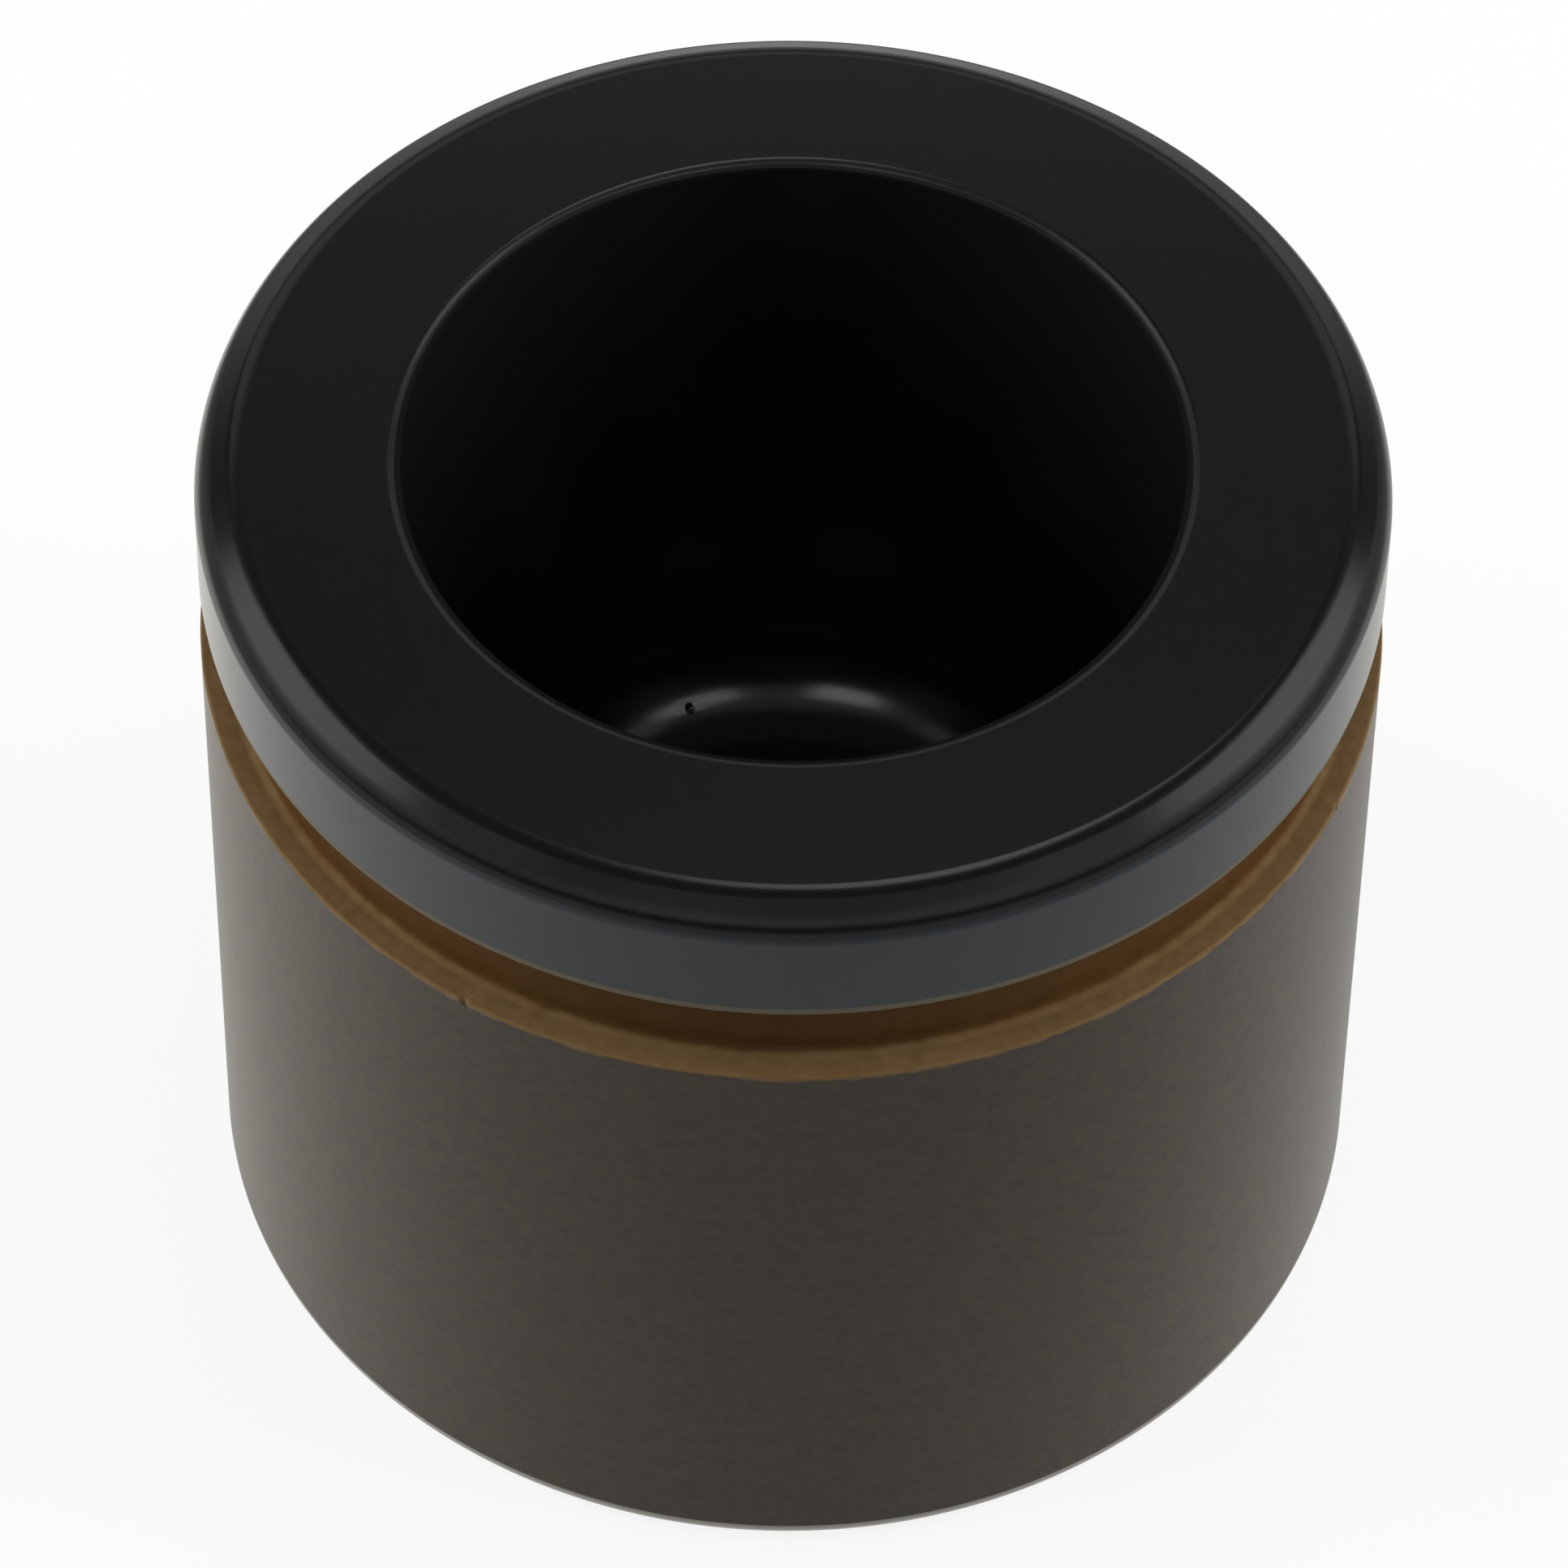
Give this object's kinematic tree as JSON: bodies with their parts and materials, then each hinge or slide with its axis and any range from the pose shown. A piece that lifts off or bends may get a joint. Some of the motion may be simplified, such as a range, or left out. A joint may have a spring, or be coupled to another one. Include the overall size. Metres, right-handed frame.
{
  "type": "brake caliper piston",
  "caption": "Moulded phenolic cup piston for a disc brake caliper, with a boot groove near its chamfered open end and a ground sealing body.",
  "frame": {"origin": "centre of the closed end, on the flat that it stands on", "axes": "+Z along the piston's axis, from the closed end to the open end; +X and +Y are any pair at right angles, as the part is round"},
  "size_m": [0.06, 0.06, 0.0514],
  "materials": {
    "phenolic": "black moulded skin on the face, land and cup; grey-brown ground body; amber turned boot groove"
  },
  "bodies": {
    "root": {"piston": "phenolic"}
  },
  "joints": []
}
